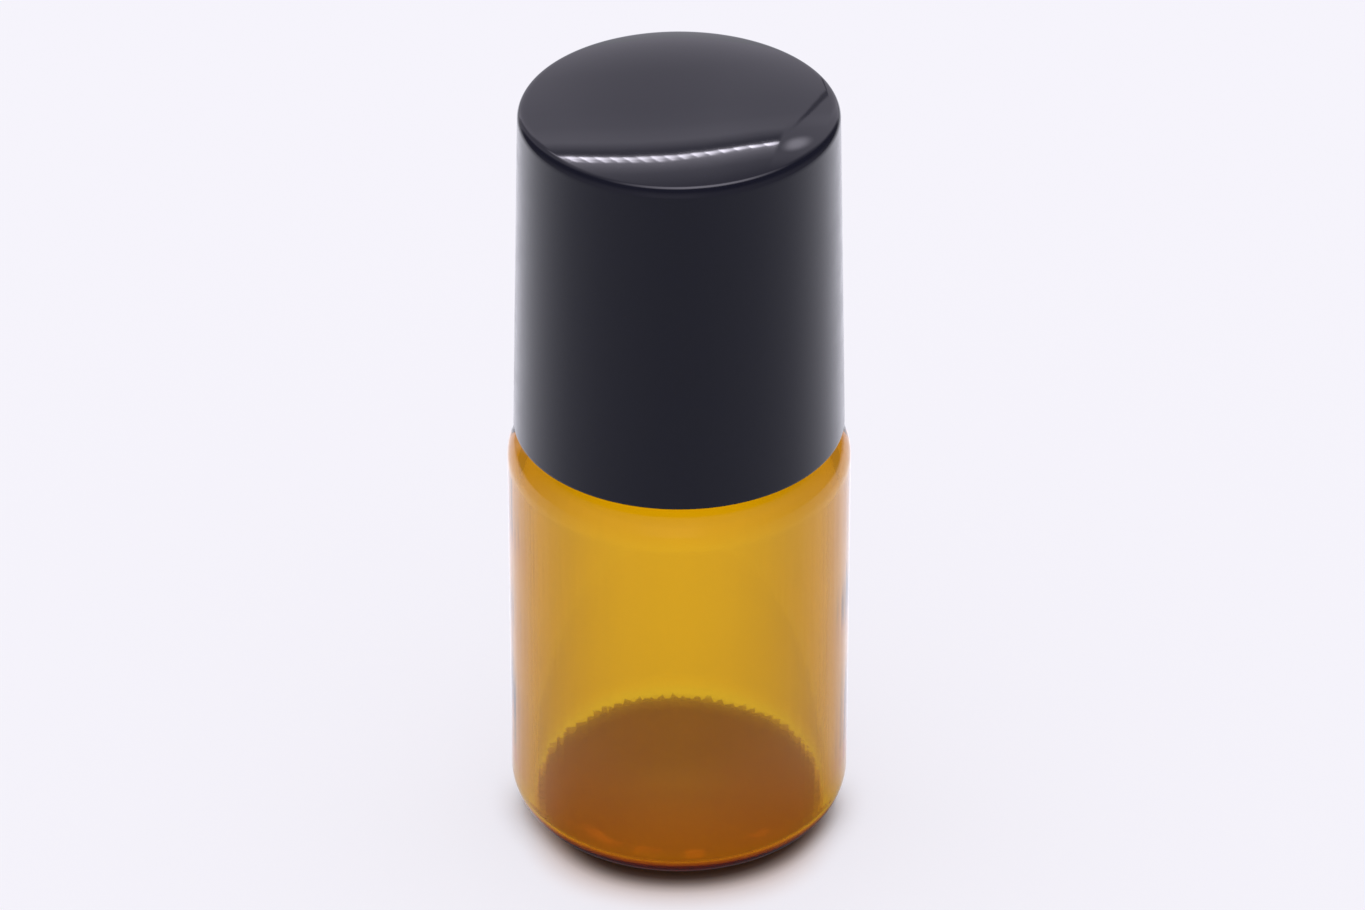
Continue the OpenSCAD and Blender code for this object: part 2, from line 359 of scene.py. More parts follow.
def make_cap():
    """Black cap: domed top, tapered side, threaded bore, and the seal ring that hangs from the roof."""
    # the edge's arcs, from the side up to the dome, with the side's top at height 0
    edge, (r, z) = [], (TOP_R, 0.0)
    for radius, start, end in EDGE_ARCS:
        start, end = math.radians(start), math.radians(end)
        centre = (r - radius * math.cos(start), z - radius * math.sin(start))
        edge += arc(*centre, radius, math.degrees(start), math.degrees(end), 10)[1:]
        r, z = edge[-1]
    dome_ball = r / math.cos(end)
    side_z = APEX_Z - z - dome_ball * (1 - math.sin(end))
    rim_in_r, chamfer_z = CAP_BORE_R + RIM_CHAMFER, RIM_Z + RIM_CHAMFER
    rim_r, rim_z = RIM_R - RIM_EDGE_R, RIM_Z + RIM_EDGE_R
    ceiling_in_r, ring_low = TOP_BORE_R - CEILING_R, RING_Z + RING_EDGE_R
    outline = (
        [(0, APEX_Z)]
        + arc(0, APEX_Z - dome_ball, dome_ball, 90, math.degrees(end), 48)[1:]
        + [(r, side_z + z) for r, z in reversed(edge[:-1])]
        + straight((TOP_R, side_z), (RIM_R, rim_z), 24)
        + arc(rim_r, rim_z, RIM_EDGE_R, 0, -90, 8)
        + straight((rim_r, RIM_Z), (rim_in_r, RIM_Z))
        + straight((rim_in_r, RIM_Z), (CAP_BORE_R, chamfer_z))
        + straight((CAP_BORE_R, chamfer_z), (CAP_BORE_R, BORE_TOP_Z), 100)
        + straight((CAP_BORE_R, BORE_TOP_Z), (TOP_BORE_R, CEILING_Z - CEILING_R), 8)
        + arc(ceiling_in_r, CEILING_Z - CEILING_R, CEILING_R, 0, 90, 8)
        + straight((ceiling_in_r, CEILING_Z), (RING_OUT_R, CEILING_Z))
        + straight((RING_OUT_R, CEILING_Z), (RING_OUT_R, ring_low), 4)
        + arc(RING_OUT_R - RING_EDGE_R, ring_low, RING_EDGE_R, 0, -90, 5)
        + arc(RING_IN_R + RING_EDGE_R, ring_low, RING_EDGE_R, -90, -180, 5)
        + straight((RING_IN_R, ring_low), (RING_IN_R, SEAT_Z), 4)
        + straight((RING_IN_R, SEAT_Z), (0, SEAT_Z), 8)[:-1]
        + [(0, SEAT_Z)])

    def relief(radius, height, angle):
        in_bore = (np.abs(radius - CAP_BORE_R) < SAME) & (height < BORE_TOP_Z)
        depth = in_bore * THREAD_DEPTH * helix(height, angle, CAP_THREAD_Z, CAP_TURNS)
        return -depth, np.zeros_like(depth)

    return turned("black_screw_cap", outline, SEGMENTS, relief)


def make_fitment():
    """Ball housing: feed hole, socket, collar, flange, and a plug with sealing beads and a tapered tip."""
    feed_z = BALL_Z - math.sqrt(SOCKET_R ** 2 - FEED_R ** 2)
    low = math.degrees(math.atan2(feed_z - BALL_Z, FEED_R))
    mouth_z, shoulder_z = COLLAR_Z - MOUTH_EDGE_R, COLLAR_Z - COLLAR_EDGE_R
    high = math.degrees(math.asin((mouth_z - BALL_Z) / SOCKET_R))
    mouth_r = SOCKET_R * math.cos(math.radians(high))
    collar_foot, flange_top = (COLLAR_R, FLANGE_Z), (FLANGE_R, FLANGE_Z)
    flange_low, plug_top = (FLANGE_R, LIP_Z), (PLUG_R, LIP_Z)
    tip = (PLUG_R - TIP_STEP, PLUG_Z)
    outline = (
        straight((FEED_R, WEB_Z), (FEED_R, feed_z), 2)
        + arc(0, BALL_Z, SOCKET_R, low, high, 28)
        + arc(mouth_r + MOUTH_EDGE_R, mouth_z, MOUTH_EDGE_R, 165, 90, 5)
        + arc(COLLAR_R - COLLAR_EDGE_R, shoulder_z, COLLAR_EDGE_R, 90, 0, 8)
        + straight((COLLAR_R, shoulder_z), (COLLAR_R, FLANGE_Z + FLANGE_EDGE_R), 4)
        + round_corner(collar_foot, (COLLAR_R, COLLAR_Z), flange_top, FLANGE_EDGE_R)
        + round_corner(flange_top, collar_foot, flange_low, FLANGE_EDGE_R)
        + round_corner(flange_low, flange_top, plug_top, FLANGE_EDGE_R)
        + [plug_top])
    for place in BEAD_SHARES:
        top = LIP_Z - place * (LIP_Z - PLUG_Z) + BEAD_H / 2
        shares = [i / BEAD_STEPS for i in range(BEAD_STEPS + 1)]
        outline += [(PLUG_R + BEAD_OUT * math.sin(math.pi * s), top - BEAD_H * s) for s in shares]
    outline += (
        straight((PLUG_R, PLUG_Z + TIP_H), tip, 2)
        + straight(tip, (PLUG_IN_R, PLUG_Z), 1)
        + straight((PLUG_IN_R, PLUG_Z), (PLUG_IN_R, WEB_Z), 6)
        + straight((PLUG_IN_R, WEB_Z), (FEED_R, WEB_Z), 4))
    fitment = turned("ball_housing", outline, SMALL_SEGMENTS)
    cutter = slot_cutter()
    cut = fitment.modifiers.new("feed slots", "BOOLEAN")
    cut.operation, cut.object, cut.solver = "DIFFERENCE", cutter, "EXACT"
    apply_modifiers(fitment)
    bpy.data.objects.remove(cutter)
    fitment.data.set_sharp_from_angle(angle=math.radians(SHARP_ANGLE))
    return fitment


def slot_cutter():
    """The feed slots' space: bars that run out from the axis, under the ball."""
    vertices, faces = [], []
    side, reach = SLOT_W / 2, SLOT_REACH_SHARE * PLUG_IN_R
    corners = [(0, -side), (reach, -side), (reach, side), (0, side)]
    box_faces = ((3, 2, 1, 0), (4, 5, 6, 7), (0, 1, 5, 4), (1, 2, 6, 5), (2, 3, 7, 6), (3, 0, 4, 7))
    for i in range(SLOTS):
        turn = 2 * math.pi * i / SLOTS
        across, along = (-math.sin(turn), math.cos(turn)), (math.cos(turn), math.sin(turn))
        flat = [tuple(u * a + v * b for a, b in zip(along, across)) for u, v in corners]
        first = len(vertices)
        vertices += [(x, y, z) for z in (WEB_Z - SLOT_OVERRUN, WEB_Z + SLOT_H) for x, y in flat]
        faces += [[first + k for k in face] for face in box_faces]
    return new_piece("slots", vertices, faces)


def make_pad():
    """Soft disc that closes on the ball, with the ball's dish in its lower face."""
    dish_edge_r = math.sqrt(DISH_R ** 2 - (BALL_Z - PAD_Z) ** 2)
    reach = math.degrees(math.asin(dish_edge_r / DISH_R))
    low_z, high_z = PAD_Z + PAD_EDGE_R, PAD_TOP_Z - PAD_TOP_EDGE_R
    outline = (
        arc(0, BALL_Z, DISH_R, 90, 90 - reach, 14)[1:]
        + straight((dish_edge_r, PAD_Z), (PAD_R - PAD_EDGE_R, PAD_Z), 10)
        + arc(PAD_R - PAD_EDGE_R, low_z, PAD_EDGE_R, -90, 0, 6)
        + straight((PAD_R, low_z), (PAD_R, high_z), 8)
        + arc(PAD_R - PAD_TOP_EDGE_R, high_z, PAD_TOP_EDGE_R, 0, 90, 4)
        + straight((PAD_R - PAD_TOP_EDGE_R, PAD_TOP_Z), (0, PAD_TOP_Z), 12)[:-1])
    outline = [(0, BALL_Z + DISH_R)] + outline + [(0, PAD_TOP_Z)]
    return turned("seal_pad_disc", outline, SMALL_SEGMENTS)


def make_ball():
    """Steel ball, as a cube's even grid blown up round."""
    share = np.tan(np.linspace(-math.pi / 4, math.pi / 4, BALL_STEPS + 1))
    vertices, faces = [], []
    for axis in range(3):
        for sign in (-1, 1):
            first = len(vertices)
            for u in share:
                for v in share:
                    point = np.roll([sign, u, v], axis)
                    vertices.append(point / np.linalg.norm(point) * BALL_R + [0, 0, BALL_Z])
            for i in range(BALL_STEPS):
                for j in range(BALL_STEPS):
                    a = first + i * (BALL_STEPS + 1) + j
                    b = a + BALL_STEPS + 1
                    quad = [a, b, b + 1, a + 1]
                    faces.append(quad if sign > 0 else quad[::-1])
    piece = new_piece("steel_roller_ball", vertices, faces)
    weld = piece.modifiers.new("weld", "WELD")
    weld.merge_threshold = WELD_DISTANCE
    apply_modifiers(piece)
    piece.data.shade_smooth()
    return piece


# Node trees
MIX_A, MIX_B, MIX_RESULT = 6, 7, 2    # a Mix node's sockets for colours
NOISE_MIDDLE = (0.3, 0.7)             # most of a noise's values lie in this band


class Nodes:
    """A node tree, with short calls for the nodes that the finishes and the studio share. A band is the two
    values between which a smooth step runs."""

    def __init__(self, tree, space="Object"):
        self.tree = tree
        tree.nodes.clear()
        self.place = self.node("ShaderNodeTexCoord").outputs[space]

    def node(self, kind, **settings):
        made = self.tree.nodes.new(kind)
        for key, value in settings.items():
            setattr(made, key, value)
        return made

    def link(self, output, socket):
        self.tree.links.new(output, socket)

    def put(self, value, socket):
        """Links a node's output to a socket, or sets the socket to a plain value."""
        if isinstance(value, bpy.types.NodeSocket):
            self.link(value, socket)
        else:
            socket.default_value = value

    def math(self, operation, *values):
        made = self.node("ShaderNodeMath", operation=operation)
        for socket, value in zip(made.inputs, values):
            self.put(value, socket)
        return made.outputs["Value"]

    def plus(self, total, *values):
        for value in values:
            total = self.math("ADD", total, value)
        return total

    def times(self, total, *values):
        for value in values:
            total = self.math("MULTIPLY", total, value)
        return total

    def minus(self, first, second):
        return self.math("SUBTRACT", first, second)

    def rest(self, value):
        """What a value leaves of 1."""
        return self.minus(1.0, value)

    def away(self, value, centre):
        """How far a value is from a centre."""
        return self.math("ABSOLUTE", self.minus(value, centre))

    def length(self, x, y):
        return self.math("SQRT", self.plus(self.times(x, x), self.times(y, y)))

    def step(self, value, band, start, end):
        """Smooth step from start to end."""
        made = self.node("ShaderNodeMapRange", interpolation_type="SMOOTHSTEP")
        for name, number in zip(("From Min", "From Max", "To Min", "To Max"), (*band, start, end)):
            made.inputs[name].default_value = number
        self.link(value, made.inputs["Value"])
        return made.outputs["Result"]

    def rise(self, value, band, level=1.0):
        """Smooth step from 0 up to the level."""
        return self.step(value, band, 0.0, level)

    def fall(self, value, band, level=1.0):
        """Smooth step from the level down to 0."""
        return self.step(value, band, level, 0.0)

    def blend(self, share, first, second):
        """Number between two numbers, at a share of the way from the first to the second."""
        return self.plus(self.times(first, self.rest(share)), self.times(second, share))

    def colours(self, share, first, second):
        """Colour between two colours, at a share of the way from the first to the second."""
        made = self.node("ShaderNodeMix", data_type="RGBA")
        self.put(share, made.inputs["Factor"])
        self.put(first, made.inputs[MIX_A])
        self.put(second, made.inputs[MIX_B])
        return made.outputs[MIX_RESULT]

    def mix(self, share, first, second):
        """Shader between two shaders, at a share of the way from the first to the second."""
        made = self.node("ShaderNodeMixShader")
        for value, socket in zip((share, first, second), made.inputs):
            self.link(value, socket)
        return made.outputs["Shader"]

    def light(self, kind, colour, strength):
        """Shader of a kind that gives light."""
        made = self.node(kind)
        self.put(colour, made.inputs["Color"])
        self.put(strength, made.inputs["Strength"])
        return made.outputs[0]

    def curve(self, value, stops):
        """A level for each value, from stops of (value, level)."""
        low, high = stops[0][0], stops[-1][0]
        top = max(level for _, level in stops)
        place = self.node("ShaderNodeMapRange")
        place.inputs["From Min"].default_value = low
        place.inputs["From Max"].default_value = high
        self.link(value, place.inputs["Value"])
        ramp = self.node("ShaderNodeValToRGB")
        elements = ramp.color_ramp.elements
        for i, (at, level) in enumerate(stops):
            share = (at - low) / (high - low)
            element = elements[i] if i < 2 else elements.new(share)
            element.position = share
            element.color = (level / top, level / top, level / top, 1)
        self.link(place.outputs["Result"], ramp.inputs["Fac"])
        return self.times(ramp.outputs["Color"], top)

    def axes(self, unit=1.0):
        """X, Y and Z of the place, counted in a unit."""
        split = self.node("ShaderNodeSeparateXYZ")
        self.link(self.place, split.inputs["Vector"])
        return [self.math("DIVIDE", split.outputs[axis], unit) for axis in "XYZ"]

    def grooves(self, x, y):
        """Place round the foot, counted in grooves, and a wave from 0 to 1 and back in each groove."""
        turn = self.times(self.math("ARCTAN2", y, x), KNURLS / (2 * math.pi))
        return turn, self.times(self.math("PINGPONG", turn, 0.5), 2.0)

    def scaled(self, per_mm, stretch=(1, 1, 1)):
        """The place, with per_mm units to each millimetre."""
        mapping = self.node("ShaderNodeMapping")
        mapping.inputs["Scale"].default_value = [s * per_mm / MM for s in stretch]
        self.link(self.place, mapping.inputs["Vector"])
        return mapping.outputs["Vector"]

    def noise(self, per_mm, detail=2.0, stretch=(1, 1, 1)):
        """Noise, with about per_mm features in each millimetre."""
        made = self.node("ShaderNodeTexNoise")
        made.inputs["Scale"].default_value = 1.0
        made.inputs["Detail"].default_value = detail
        self.link(self.scaled(per_mm, stretch), made.inputs["Vector"])
        return made.outputs["Fac"]

    def cells(self, per_mm):
        """Distance from the middle of the nearest cell, with about per_mm cells to each millimetre."""
        made = self.node("ShaderNodeTexVoronoi")
        made.inputs["Scale"].default_value = 1.0
        self.link(self.scaled(per_mm), made.inputs["Vector"])
        return made.outputs["Distance"]

    def vary(self, noise, start, end):
        """Spreads the middle of a noise's values from start to end."""
        return self.step(noise, NOISE_MIDDLE, start, end)


class Look(Nodes):
    """A finish: a new material and its shader."""

    def __init__(self, name):
        self.material = bpy.data.materials.new(name)
        self.material.use_nodes = True
        super().__init__(self.material.node_tree)
        self.shader = self.node("ShaderNodeBsdfPrincipled")
        self.output = self.node("ShaderNodeOutputMaterial")
        self.link(self.shader.outputs["BSDF"], self.output.inputs["Surface"])

    def set(self, **values):
        """Sets the shader's sockets, with underscores for the spaces in their names."""
        for key, value in values.items():
            self.put(value, self.shader.inputs[key.replace("_", " ")])

    def bump(self, height, depth, strength=1.0):
        """Bump on the shader's normal, with its depth in millimetres."""
        made = self.node("ShaderNodeBump")
        made.inputs["Strength"].default_value = strength
        made.inputs["Distance"].default_value = depth * MM
        self.link(height, made.inputs["Height"])
        self.link(made.outputs["Normal"], self.shader.inputs["Normal"])


# Finishes. The glass is clear, and its colour comes from what it absorbs
GLASS_ROUGH = (0.0, 0.02)
GLASS_ABSORBS = (0.9664, 0.8701, 0.037, 1)
GLASS_DENSITY = 2900                  # for each metre
LINES_PER_MM = 1.9                    # faint upright lines in the glass
LINES_STRETCH = (1, 1, 0.05)
LINES_DEPTH = 0.008
FROST_ROUGH = 0.5                     # the frost of the underside
FROST_R = 7.6
FROST_TOOTH = 0.15                    # how far the frost's edge moves in and out with the grooves
FROST_EDGE = (-0.04, 0.04)            # distances from that radius between which the frost ends
FROST_TOP = (0.25, 0.3)               # heights above the base between which the frost ends

# The cap is satin on its side and polished on top. The bands are heights from the edge of its top
CAP_COLOUR = (0.0047, 0.005, 0.0135, 1)
SIDE_ROUGH, TOP_ROUGH = 0.2, 0.035
POLISH_BAND = (-0.45, 0.1)
GRAIN_BAND = (-0.4, 0.0)
TOP_GRAIN = 0.05                      # share of the side's grain that the top has

PLASTIC_COLOURS = (0.80, 0.80, 0.76, 1), (0.87, 0.87, 0.84, 1)
STEEL_COLOUR = (0.62, 0.615, 0.60, 1)
FOAM_COLOURS = (0.90, 0.90, 0.88, 1), (0.80, 0.80, 0.78, 1)
FOAM_CELL = (0.1, 0.7)                # distances from a cell's middle between which the colour changes


def amber_glass():
    """Clear glass that takes its amber from the light's way through it, with a frosted underside."""
    look = Look("amber_glass")
    x, y, z = look.axes(MM)
    _, wave = look.grooves(x, y)
    reach = look.minus(look.length(x, y), look.times(wave, FROST_TOOTH))
    under = look.fall(look.minus(z, BASE_Z), FROST_TOP)
    frost = look.times(under, look.fall(look.minus(reach, FROST_R), FROST_EDGE), FROST_ROUGH)
    clear = look.vary(look.noise(per_mm=0.6), *GLASS_ROUGH)
    look.set(Base_Color=(1, 1, 1, 1), IOR=1.52, Transmission_Weight=1.0, Roughness=look.plus(clear, frost))
    look.bump(look.noise(LINES_PER_MM, 1.0, LINES_STRETCH), LINES_DEPTH)
    absorb = look.node("ShaderNodeVolumeAbsorption")
    absorb.inputs["Color"].default_value = GLASS_ABSORBS
    absorb.inputs["Density"].default_value = GLASS_DENSITY
    look.link(absorb.outputs["Volume"], look.output.inputs["Volume"])
    return look.material


def black_plastic():
    """Moulded black plastic: polished on the domed top, satin on the side."""
    look = Look("black_plastic")
    _, _, z = look.axes(MM)
    over_edge = look.minus(z, EDGE_Z)
    satin = look.step(over_edge, POLISH_BAND, SIDE_ROUGH, TOP_ROUGH)
    blotch = look.vary(look.noise(per_mm=0.8), 0.9, 1.15)
    look.set(Base_Color=CAP_COLOUR, IOR=1.5, Roughness=look.times(satin, blotch))
    fine = look.times(look.noise(per_mm=9.0, detail=3.0), look.step(over_edge, GRAIN_BAND, 1.0, TOP_GRAIN))
    look.bump(look.plus(fine, look.noise(per_mm=0.9, detail=1.0)), depth=0.002, strength=0.7)
    return look.material


def natural_plastic():
    """Uncoloured polyethylene: milky, slightly waxy, with light through it."""
    look = Look("natural_plastic")
    look.set(IOR=1.51, Subsurface_Weight=0.35)
    look.set(Subsurface_Radius=(1.0, 0.95, 0.85), Subsurface_Scale=0.8 * MM)
    look.set(Base_Color=look.colours(look.vary(look.noise(per_mm=0.7), 0.0, 1.0), *PLASTIC_COLOURS))
    look.set(Roughness=look.vary(look.noise(per_mm=1.5), 0.32, 0.42))
    look.bump(look.noise(per_mm=6.0, detail=3.0), depth=0.003, strength=0.5)
    return look.material


def steel():
    """Polished stainless steel with the finest marks of tumbling."""
    look = Look("steel_ball")
    look.set(Base_Color=STEEL_COLOUR, Metallic=1.0)
    look.set(Roughness=look.vary(look.noise(per_mm=1.2, detail=4.0), 0.05, 0.11))
    look.bump(look.noise(per_mm=14.0, detail=3.0), depth=0.0006, strength=0.4)
    return look.material


def seal_foam():
    """White closed-cell foam, matt and finely pitted."""
    look = Look("seal_foam")
    cells = look.cells(per_mm=7)
    look.set(IOR=1.4, Sheen_Weight=0.15, Sheen_Roughness=0.6)
    look.set(Base_Color=look.colours(look.rise(cells, FOAM_CELL), *FOAM_COLOURS))
    look.set(Roughness=look.vary(look.noise(per_mm=2.0), 0.75, 0.9))
    look.bump(cells, depth=0.03, strength=0.6)
    return look.material


# Studio: camera, floor and background
CAMERA_PLACE = (0.16, -305.29, 217.92)
CAMERA_DOWN = 33.07                   # degrees
CAMERA_LENS = 206.16
SENSOR_WIDTH = 36
CLIP_START = 0.01                     # metres
FLOOR_SIZE = 4000
FLOOR_GAP = 0.02                      # under the glass, so that the two surfaces don't share a plane
WHITE = (1, 1, 1, 1)
BACKGROUND = (0.922, 0.905, 0.973, 1)
SIDE_SHADE = 0.33                     # how much darker the sides look through the glass
LEVEL_LIGHT = 0.4                     # the world's light from the horizon
TOP_LIGHT = 0.9                       # how much more of it comes from straight above

# The studio that the cap's gloss mirrors, where 1 is the floor's white. A direction's x runs to the right and
# its y away from the camera. Its place is how far it lies behind the light strip, whose line has its y at
# bend * x * x + slope * x + middle. The levels were set for the cap's top to look as it does in the
# photograph
SKY_TINT = (1.05, 1.0, 1.15, 1)
SKY_STOPS = (                         # place and level
    (-1.40, 0.45), (-0.70, 0.16), (-0.28, 0.14), (-0.20, 0.35), (-0.124, 0.78), (-0.084, 1.0), (-0.055, 1.5),
    (-0.03, 2.2), (-0.012, 3.4), (0.0, 3.4), (0.02, 0.6), (0.035, 0.55), (0.06, 1.0), (0.086, 1.4),
    (0.126, 1.25), (0.166, 1.06), (0.246, 0.88), (0.326, 0.75), (0.416, 0.59), (0.486, 0.52))
STRIP_BEND, STRIP_SLOPE, STRIP_MIDDLE = 0.978, 0.151, 0.514
STRIP_LEFT = (-0.365, -0.352)
STRIP_RIGHT = (0.282, 0.288)
STRIP_BACK = (0.004, 0.010)
LINE_BAND = (-0.008, -0.003)          # the bright line along the strip
LINE_LEVEL = 6.0
TEETH_PITCH, TEETH_SLOPE = 0.042, 0.94    # the bright teeth in front of that line
TEETH_SHARPNESS = 1.6
TEETH_X, TEETH_REACH = (-0.05, 0.25), (-0.026, -0.014)
TEETH_DEPTH = (0.0, 0.012)
TEETH_LEFT = (-0.345, -0.32)
TEETH_LEVEL = 13.0
SEAM_X, SEAM_PLACE, SEAM_BEND = 0.306, 0.149, -1.17    # the dark seam line, which bends with its place
SEAM_WIDTH = (0.002, 0.007)
SEAM_FRONT = (-0.01, 0.01)
SEAM_SHADE = 0.6
END_RIGHT, END_RIGHT_BACK = (0.278, 0.290), (0.05, 0.16)    # the even light past the strip's two ends
END_LEFT, END_LEFT_BACK = (-0.42, -0.36), (0.03, 0.06)
END_FRONT = (-0.15, -0.06)
END_X, END_LEVELS = (-0.3, 0.3), (0.62, 1.2)
SPOT_X, SPOT_PLACE = 0.329, -0.018    # the soft spot at the strip's right end
SPOT_HALF_X, SPOT_HALF_Y = 0.034, 0.044
SPOT_EDGE = (0.2, 1.15)
SPOT_LEVEL = 2.6
RIDGE_PLACE = -0.25                   # the light that runs along the cap's top edge
RIDGE_WIDTH = (0.02, 0.08)
RIDGE_LEFT, RIDGE_RIGHT = (-0.35, 0.05), (0.2, 0.42)
RIDGE_LEVEL = 3.0
RIGHT_BAND, RIGHT_LEVEL = (0.08, 0.34), 0.76    # both sides of the studio are darker than its middle
LEFT_BAND, LEFT_LEVEL = (-0.5, -0.25), 0.82
SKY_SIDE = (0.0, 0.4)                 # x where the background darkens through the glass

# The floor. Lengths on it are in millimetres from the bottle's axis. Facing is how far round to the back a
# place lies, from -1 in front of the bottle to 1 behind it. The levels were set in the same way
FLOOR_TINT = (0.985, 0.975, 1.08, 1)
FLOOR_STOPS = (                       # facing and level of what the cap's side mirrors
    (-1.0, 0.33), (-0.9, 0.36), (-0.59, 0.43), (-0.22, 0.56), (0.10, 0.77), (0.41, 1.0), (0.64, 1.24),
    (1.0, 1.35))
MIRROR_NEAR, MIRROR_NEAR_SHADE = (8.3, 18), 0.8    # what is mirrored is darker close to the bottle's front
MIRROR_FRONT = (-0.7, -0.2)
MIRROR_SHIFT_X, MIRROR_SHIFT = (2, 8), 0.35        # that shade reaches further round at the right
MIRROR_FAR, MIRROR_FAR_LEVEL = (60, 260), 0.4
PAINTED_WARM_SHADE = (0.90, 0.80, 0.81, 1)    # painted warm shade on the paper close to the glass
PAINTED_WARM_SHADE_EDGE = (7.8, 10.5)
COOLER_FRONT, COOLER = (-0.95, -0.2), 2.5          # how much narrower that is away from the front
CONTACT_SHADOW_COLOUR = (0.10, 0.062, 0.052, 1)           # painted contact shadow: the dark crescent in front of the foot
CONTACT_SHADOW_STOPS = ((6.9, 0.0), (7.2, 0.05), (7.6, 0.3), (8.0, 0.66), (8.4, 0.92), (8.8, 1.0))
CONTACT_FRONT = (-0.55, 0.1)
CONTACT_THROUGH = 0.3                 # share of it that shows through the glass
THINNER_FRONT, THINNER = (-1.0, -0.45), 1.0        # how much thinner it is away from the front
THINNER_X, THINNER_RIGHT = (-5, 5), 0.35           # share of that at the right
WARM_LIGHT = (0.63, 0.19, 0.0, 1)     # amber light under the glass
WARM_SHARE = 0.3
WARM_EDGE = (7.9, 8.4)
WARM_Y, WARM_LEVELS = (-6, 6), (1.5, 0.48)         # its levels in front and behind
STREAK_R, STREAK_WIDTH = 5.4, (0.1, 0.4)    # faint streaks of light in front, thrown by the heel
STREAK_FRONT = (-0.75, -0.5)
STREAK_NOISE = (0.48, 0.6)
STREAKS_PER_MM = 0.7
STREAK_LEVEL = 0.9
GLOW_BACK, GLOW_BACK_SHARE = (7.45, 7.6), 0.58     # painted light that lifts the open paper past the foot's shade, behind
GLOW_FRONT, GLOW_FRONT_SHARE = (7.9, 10.0), 0.7    # and in front
GLOW_TURN = (-0.3, 0.3)               # facing where one goes over into the other
GLOW_CAMERA_SHARE = 0.3               # more of it behind, where no glass is in the way
SIDEWAYS_FRONT, SIDEWAYS = (-0.95, -0.5), 0.7      # how much narrower the front's shade is away from the front
TOOTH_DEPTH = 1.2                     # of the painted serrated edge of the foot's shade, a tooth to each groove
TOOTH_UNEVEN_RATE, TOOTH_UNEVEN_SHARE = 1.9, 0.3
PAPER_MIDDLE, PAPER_SIDE = -0.5, (1.5, 10)    # x where the paper darkens to both sides through the glass


class Studio(Nodes):
    """A tree of the studio, with what kind of ray meets it: 1 for yes and 0 for no."""

    def __init__(self, tree, space):
        super().__init__(tree, space)
        path = self.node("ShaderNodeLightPath")
        self.camera = path.outputs["Is Camera Ray"]
        self.through = path.outputs["Is Transmission Ray"]
        # the camera sees it, straight or through glass
        no_matt_before = self.math("LESS_THAN", path.outputs["Diffuse Depth"], 0.5)
        self.seen = self.math("MAXIMUM", self.camera, self.times(self.through, no_matt_before))
        # a surface mirrors it. A ray that passes through glass counts as glossy too, and is left out
        self.mirrored = self.times(path.outputs["Is Glossy Ray"], self.rest(self.through))


class Sky(Studio):
    """The world's tree."""

    def __init__(self, tree):
        super().__init__(tree, "Generated")
        self.x, self.y, self.z = self.axes()
        bend, slope = self.times(self.x, self.x, STRIP_BEND), self.times(self.x, STRIP_SLOPE)
        self.behind = self.minus(self.y, self.plus(bend, slope, STRIP_MIDDLE))

    def strip(self):
        """Light of the strip: a bright line with teeth in front of it."""
        slanted = self.math("MULTIPLY_ADD", self.behind, TEETH_SLOPE, self.x)
        saw = self.math("FRACT", self.math("DIVIDE", slanted, TEETH_PITCH))
        tooth = self.math("POWER", self.rest(saw), TEETH_SHARPNESS)
        from_front = self.minus(self.behind, self.step(self.x, TEETH_X, *TEETH_REACH))
        teeth = self.times(tooth, self.rise(from_front, TEETH_DEPTH))
        teeth = self.times(teeth, self.rise(self.x, TEETH_LEFT, TEETH_LEVEL))
        light = self.plus(self.rise(self.behind, LINE_BAND, LINE_LEVEL), teeth)
        along = self.times(self.rise(self.x, STRIP_LEFT), self.fall(self.x, STRIP_RIGHT))
        return self.times(along, self.fall(self.behind, STRIP_BACK), light)

    def seam(self):
        """Shade of the seam line."""
        off = self.minus(self.behind, SEAM_PLACE)
        seam_x = self.math("MULTIPLY_ADD", self.times(off, off), SEAM_BEND, SEAM_X)
        line = self.fall(self.away(self.x, seam_x), SEAM_WIDTH, SEAM_SHADE)
        return self.times(line, self.rise(self.behind, SEAM_FRONT))

    def past_ends(self):
        """1 past the strip's ends."""
        right = self.times(self.rise(self.x, END_RIGHT), self.fall(self.behind, END_RIGHT_BACK))
        left = self.times(self.fall(self.x, END_LEFT), self.fall(self.behind, END_LEFT_BACK))
        return self.times(self.math("MAXIMUM", right, left), self.rise(self.behind, END_FRONT))

    def spot(self):
        """Light of the soft spot."""
        across = self.math("DIVIDE", self.minus(self.x, SPOT_X), SPOT_HALF_X)
        along = self.math("DIVIDE", self.minus(self.behind, SPOT_PLACE), SPOT_HALF_Y)
        return self.fall(self.length(across, along), SPOT_EDGE, SPOT_LEVEL)

    def ridge(self):
        """Light that runs along the cap's top edge."""
        line = self.fall(self.away(self.behind, RIDGE_PLACE), RIDGE_WIDTH, RIDGE_LEVEL)
        return self.times(line, self.rise(self.x, RIDGE_LEFT), self.fall(self.x, RIDGE_RIGHT))

    def gloss(self):
        """The whole of what gloss mirrors."""
        level = self.times(self.curve(self.behind, SKY_STOPS), self.rest(self.seam()))
        level = self.blend(self.past_ends(), level, self.step(self.x, END_X, *END_LEVELS))
        level = self.plus(level, self.spot(), self.ridge())
        level = self.times(level, self.step(self.x, RIGHT_BAND, 1.0, RIGHT_LEVEL))
        level = self.times(level, self.step(self.x, LEFT_BAND, LEFT_LEVEL, 1.0))
        return self.plus(level, self.strip())


